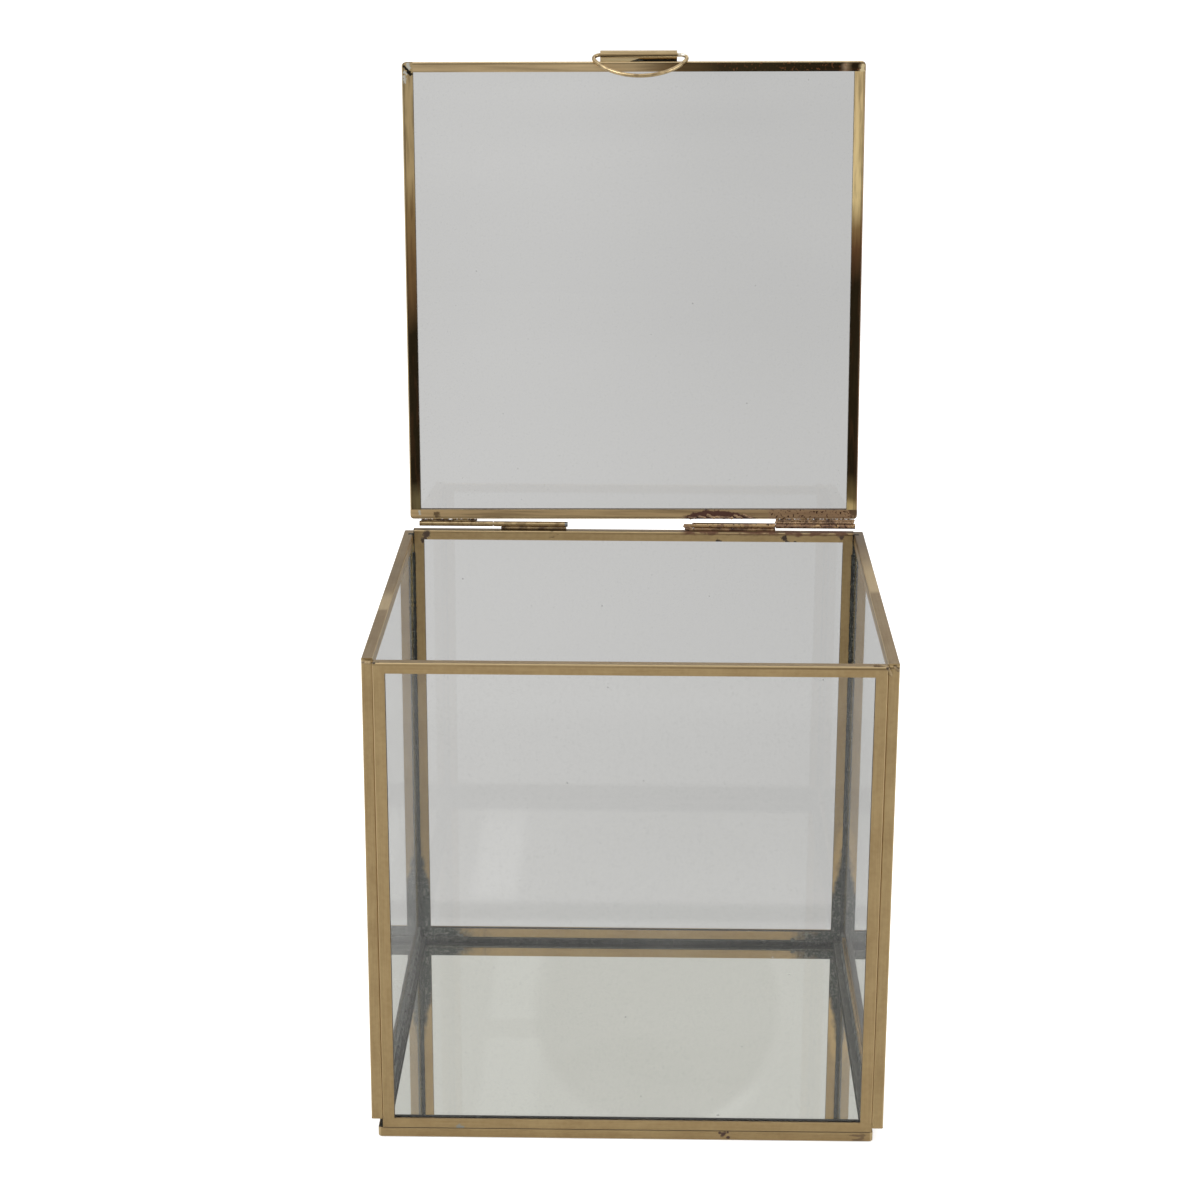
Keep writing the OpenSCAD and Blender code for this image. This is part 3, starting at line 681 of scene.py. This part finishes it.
def lid_reflection_tone(run, stops, fold, fold_reflection_tone=(0.72, 0.56, 0.32)):
    """Painted reflection along the strip's inner face, which runs across or up the lid, streaked along its
    length.
    fold is the outward direction of the strip's outer fold, which gets a painted highlight with a painted
    shade line inside it. There is silver solder on the left corners, and the right corner by the pull is torn
    down to gold."""
    start = lid_origin.dot(run) - (lid_w / 2 * MM if run is lid_across else 0)
    length = MM * (lid_w if run is lid_across else lid_l)
    fold_at = lid_origin.dot(fold) + MM * (lid_w / 2 if abs(fold.x) > 0.5 else lid_l if fold.z > 0 else 0)
    thin = (0.04, 1, 1) if run is lid_across else (1, 1, 0.04)

    def stain(place, colour, rough, metal):
        streak = place.noise(900, 3, thin)
        broad = place.noise(160, 3, thin)
        reach = (place.along(tuple(run)) - start + (broad - 0.5) * 0.007) * (1 / length)
        tone = place.node("ValToRGB", {"stops": stops}, {"Fac": reach})
        tone = (streak.step(0.5, 0.66) * 0.25).blend(tone, (0.13, 0.06, 0.028))
        tone = tone.scaled((1 - streak) * 0.9 + 0.58)
        inward = fold_at - place.along(tuple(fold))
        # A painted shade line inside the fold, and a painted highlight on the fold itself
        dark = inward.step(0.00035, 0.00042) * inward.step(0.0009, 0.0006) * 0.45
        painted_fold_highlight = inward.step(0.0004, 0.0003) * 0.85
        tone = painted_fold_highlight.blend(dark.blend(tone, (0.05, 0.035, 0.02)), fold_reflection_tone)
        silver = place.stroke(on_lid(-70.7, 0, 144.6), on_lid(-70.3, 0, 143.7), 0.8)
        silver = silver.most(place.stroke(on_lid(-71.7, 0, 142.3), on_lid(-71.3, 0, 142.1), 0.6))
        silver = silver.most(place.stroke(on_lid(-71.9, 0, 141.0), on_lid(-71.7, 0, 139.6), 0.65, 1.6))
        silver = silver.most(place.stroke(on_lid(-69.8, 0, 2.6), on_lid(-69.5, 0, 1.6), 0.45))
        # The notches at the left corner are painted black, the shade inside them
        notch = place.stroke(on_lid(-71.9, 0, 144.2), on_lid(-70.0, 0, 142.1), 0.45)
        notch = notch.most(place.stroke(on_lid(-70.7, 0, 142.6), on_lid(-69.8, 0, 141.8), 0.65))
        gold = place.stroke(on_lid(71.8, 0, 144.1), on_lid(71.5, 0, 142.8), 0.6)
        gold = gold.most(place.stroke(on_lid(71.0, 0, 142.7), on_lid(71.9, 0, 142.7), 0.55))
        tone = notch.blend(silver.blend(gold.blend(tone, (0.9, 0.74, 0.44)), (0.66, 0.64, 0.56)), SLOT_SHADE)
        outer = (place.along(tuple(lid_facing)) - lid_facing.dot(lid_origin)).step(0.0026, 0.003)
        return outer.blend(tone, colour), rough - 0.04, metal
    return stain


def free_edge(place, colour, rough, metal):
    """Tiny red freckles on the dark half."""
    colour, rough, metal = free_edge_tone(place, colour, rough, metal)
    x = place.parts()[0]
    freckle = place.noise(1500, 2).step(0.6, 0.68) * x.step(0.02, 0.03) * 0.5
    return freckle.blend(colour, (0.3, 0.12, 0.05)), rough, metal


def hinge_edge(place, colour, rough, metal):
    """Rust-brown crust over the right hinge, pinkish and pitted to its right, and a burnt left corner."""
    colour, rough, metal = hinge_edge_tone(place, colour, rough, metal)
    x = place.parts()[0]
    up = place.along(tuple(lid_up)) - lid_origin.dot(lid_up)
    broken = place.noise(700, 4) - 0.5
    hill = abs(x - 0.0265).step(0.016, 0.002) * 0.0028 + broken * 0.002
    crust = (up - hill).step(0.0003, -0.0002) * x.step(0.015, 0.018) * x.step(0.042, 0.038)
    pink = x.step(0.0435, 0.0445) * x.step(0.0715, 0.0705)
    pit = place.noise(1300, 3).step(0.56, 0.62) * pink
    corner_burn = place.spot(on_lid(-64, 0, 1.6), 1.3).most(place.spot(on_lid(71.6, 0, 2.4), 2.0)) * 0.7
    colour = (pink * 0.5).blend(colour, (0.42, 0.25, 0.155))
    colour = crust.blend(colour, (0.085, 0.032, 0.018))
    colour = pit.most(corner_burn).blend(colour, (0.045, 0.022, 0.014))
    return colour, rough + crust * 0.3, metal - crust * 0.7


REFLECTED_BLACK, REFLECTED_GOLD = (0.025, 0.017, 0.008), (0.56, 0.415, 0.23)
free_stops = (
    (0, REFLECTED_GOLD), (0.5, REFLECTED_GOLD), (0.6, (0.17, 0.115, 0.052)), (0.69, (0.05, 0.035, 0.016)), (0.95, REFLECTED_BLACK),
    (0.961, (0.46, 0.33, 0.21)), (0.967, (0.26, 0.18, 0.1)), (0.976, REFLECTED_BLACK), (0.991, REFLECTED_BLACK),
    (0.995, REFLECTED_GOLD), (1, REFLECTED_GOLD),
)
left_stops = (
    (0, (0.17, 0.133, 0.063)), (0.05, (0.17, 0.133, 0.063)), (0.09, REFLECTED_BLACK), (0.42, REFLECTED_BLACK),
    (0.5, (0.16, 0.09, 0.037)), (0.58, (0.19, 0.11, 0.045)), (0.68, (0.31, 0.2, 0.085)),
    (0.76, (0.487, 0.353, 0.175)), (1, (0.52, 0.385, 0.2)),
)
right_stops = (
    (0, (0.67, 0.51, 0.235)), (0.03, (0.6, 0.45, 0.2)), (0.045, (0.19, 0.133, 0.053)), (0.1, REFLECTED_BLACK),
    (0.53, REFLECTED_BLACK), (0.605, (0.15, 0.075, 0.032)), (0.65, (0.285, 0.178, 0.075)),
    (0.71, (0.92, 0.71, 0.35)), (1, (0.82, 0.61, 0.31)),
)
hinge_stops = (
    (0, (0.57, 0.41, 0.22)), (0.4, (0.55, 0.395, 0.21)), (0.7, (0.46, 0.32, 0.17)), (1, (0.42, 0.285, 0.16)),
)
free_edge_tone = lid_reflection_tone(lid_across, free_stops, lid_up)
hinge_edge_tone = lid_reflection_tone(lid_across, hinge_stops, -lid_up)
left_tone = lid_reflection_tone(lid_up, left_stops, -lid_across)
right_tone = lid_reflection_tone(lid_up, right_stops, lid_across, (0.36, 0.23, 0.15))
panel = (tuple(lid_facing), lid_facing.dot(lid_origin))
dress(brass("lid_free_brass", "x", panel, free_edge), "lid_free_channel")
dress(brass("lid_hinge_brass", "x", panel, hinge_edge), "lid_hinge_channel")
dress(brass("lid_left_brass", "z", panel, left_tone), "lid_left_channel")
dress(brass("lid_right_brass", "z", panel, right_tone), "lid_right_channel")

# The channels' open ends at the lid's corners are stopped with a dab of solder
lid_tin = solder_paint("lid_tin", (0.42, 0.4, 0.34), (0.16, 0.13, 0.09), 0.6)
stopped = []
for depth in (1.0, 1.65, 2.3):
    stopped.append([on_lid(-71.4, depth, 144.98), on_lid(-69.8, depth, 144.98)])
    stopped.append([on_lid(72.12, depth, 142.7), on_lid(72.12, depth, 144.4)])
    stopped += [[on_lid(side * 72.12, depth, 1.1), on_lid(side * 72.12, depth, 2.8)] for side in (-1, 1)]
solder("lid_corner_solder", stopped, 0.5, lid_tin, "lid", wander=(0.03, 0.06, 0.03), grain=0.12, seed=13)

# ---- Hinges ----
# Brass barrels on a wire pin. The left pair is tinned grey at its end; the right pair is burnt to a
# rusty brown by the torch, most of all on the lid's side, and its pin's tail is buried in a black lump.
BURNT_PALE, BURNT_DARK = (0.36, 0.23, 0.125), (0.09, 0.045, 0.028)
left_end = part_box("left_wall_barrel")[1].x


def clean_barrel(place, colour, rough, metal):
    tinned = place.parts()[0].step(left_end - 0.0011, left_end - 0.0008)
    dirty = place.noise(400, 4).step(0.5, 0.62) * 0.6
    return tinned.blend(dirty.blend(colour, (0.2, 0.13, 0.07)), (0.25, 0.26, 0.27)), rough, metal


def burnt_barrel(place, colour, rough, metal):
    heat = place.parts()[0].step(0.043, 0.046)
    crust = (place.noise(420, 5) + heat * 0.1).step(0.5, 0.6)
    pit = (place.noise(1400, 3) + heat * 0.05).step(0.6, 0.66)
    colour = crust.blend((heat * 0.3 + 0.4).blend(colour, (0.66, 0.42, 0.22)), (0.27, 0.155, 0.09))
    return pit.blend(colour, (0.03, 0.014, 0.01)), rough + crust * 0.2, metal - crust * 0.5


for side, look in (("left", clean_barrel), ("right", burnt_barrel)):
    barrel = brass(side + "_hinge_brass", "x", None, look)
    dress(barrel, side + "_wall_barrel", side + "_lid_barrel", side + "_hinge_pin")
hinge_tin = solder_paint(
    "hinge_tin", BURNT_PALE, BURNT_DARK, 0.3,
    (lambda place: place.parts()[0].step(0.001, -0.001), (0.33, 0.235, 0.12), (0.1, 0.06, 0.035)),
)
under = [[(-42.6, 70.8, 147.15), (-22.2, 70.8, 147.15)], [(19.8, 70.8, 147.1), (45.6, 70.8, 147.1)]]
under += [[(16.8, 70.5, 148.1), (19.0, 70.6, 147.5)], [(17.2, 70.3, 147.3), (19.0, 70.5, 147.0)]]
solder(
    "wall_hinge_solder", under, 0.6, hinge_tin, stands_for=["wall_barrel_solder"],
    wander=(0.2, 0.1, 0.05), grain=0.12, seed=7,
)
above = [[on_lid(-69, 1.1, -0.55), on_lid(-51.2, 1.1, -0.6)]]
for depth, up in ((0.8, -0.5), (1.4, -0.8), (0.7, -1.3), (0.7, -2.5)):
    above.append([on_lid(46.6, depth, up), on_lid(71.6, depth, up - 0.05)])
# The crust on the lid's rail over the right hinge is a row of short slanting runs
for i in range(7):
    crest = 0.5 + 0.9 * math.sin(2.3 * i) ** 2
    above.append([on_lid(18 + 3 * i, -0.1, crest), on_lid(20.4 + 3 * i, -0.1, 0.4)])
solder(
    "lid_hinge_solder", above, 0.5, hinge_tin, "lid", ["lid_barrel_solder"],
    wander=(0.2, 0.08, 0.12), grain=0.12, seed=9,
)

# ---- Pull ----
# A tube rolled from brass sheet. The sheet's end hangs down as a lip, cut on the slant, that is soldered
# to the lid's free edge; to its right the tube's underside is in the dark. A D of wire swings in the tube.
tube_x, tube_depth, tube_up, tube_half, tube_r, bore_r = 1.65, 1.65, 147.5, 12.05, 1.4, 0.66


def pull_wire(place, colour, rough, metal):
    bare = place.spot(on_lid(tube_x + 13.6, tube_depth, tube_up), 2.0, 0.3) * 0.8
    soiled = place.noise(500, 4).step(0.5, 0.64) * 0.5
    return bare.blend(soiled.blend(colour, (0.2, 0.13, 0.07)), (0.8, 0.77, 0.68)), rough, metal


def rolled_end(x, slit):
    """The sheet's section at x, from the front over the top and round to the slit, which is in degrees."""
    turns = [(360 - slit) * i / 40 for i in range(41)]
    section = []
    for radius, way in ((tube_r, turns), (bore_r, turns[::-1])):
        for degrees in way:
            turn = math.radians(degrees)
            section.append(on_lid(x, tube_depth - radius * math.cos(turn), tube_up + radius * math.sin(turn)))
    return section


left_edge, right_edge = tube_x - tube_half, tube_x + tube_half
points = rolled_end(left_edge, 24) + rolled_end(right_edge, 12)
count = len(points) // 2
faces = [(i, (i + 1) % count, count + (i + 1) % count, count + i) for i in range(count)]
half = count // 2
for i in range(half - 1):
    faces.append((i + 1, i, count - 1 - i, count - 2 - i))
    faces.append((count + i, count + i + 1, 2 * count - 2 - i, 2 * count - 1 - i))
lip, back_tail, free_up = tube_depth - 1.05, tube_depth + 0.9, lid_l - 0.05
sheet = 0.3
for depth, outline in (
    (lip, [(left_edge, tube_up - 0.6), (left_edge, free_up), (-1.5, free_up), (2.0, tube_up - 0.95)]),
    (back_tail, [
        (left_edge, tube_up - 0.9), (left_edge, free_up), (right_edge, free_up), (right_edge, tube_up - 0.9),
    ]),
):
    start = len(points)
    for into in (depth, depth + sheet):
        points += [on_lid(x, into, up) for x, up in outline]
    faces += [tuple(start + i for i in (0, 1, 2, 3)), tuple(start + i for i in (7, 6, 5, 4))]
    faces += [(start + i, start + 4 + i, start + 4 + (i + 1) % 4, start + (i + 1) % 4) for i in range(4)]


def rolled_sheet(place, colour, rough, metal):
    """Painted black as shade inside and behind; the fold of the lip gets a painted highlight."""
    depth = place.along(tuple(lid_facing)) - lid_facing.dot(lid_origin)
    up = place.along(tuple(lid_up)) - lid_origin.dot(lid_up)
    shade_below = depth.step(0.0012, 0.0016) * up.step(0.14665, 0.1465)
    stripe = place.noise(1500, 2, (0.03, 1, 1)).step(0.5, 0.6) * 0.35
    colour = stripe.blend(colour, (0.16, 0.1, 0.05))
    lip_highlight = depth.step(0.0012, 0.001) * up.step(0.1467, 0.1465) * 0.6
    colour = shade_below.blend(lip_highlight.blend(colour, (0.78, 0.63, 0.37)), SLOT_SHADE)
    return colour, rough + shade_below * 0.4, metal - shade_below * 0.9


sheet_brass = brass("pull_sheet_brass", "x", None, rolled_sheet)
pull_sheet = mesh_piece("pull_sheet", points, faces, sheet_brass, "lid")
pull_sheet.data.set_sharp_from_angle(angle=math.radians(40))
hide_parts("pull_tube")
dress(brass("pull_wire_brass", "x", None, pull_wire), "pull_ring")
tail_tin = [[on_lid(-9.5, tube_depth, 145.85), on_lid(2.5, tube_depth, 145.85)]]
solder(
    "pull_solder_beads", tail_tin, 0.5, foot_tin, "lid", ["pull_solder"],
    wander=(0.1, 0.1, 0.03), grain=0.12, seed=11,
)
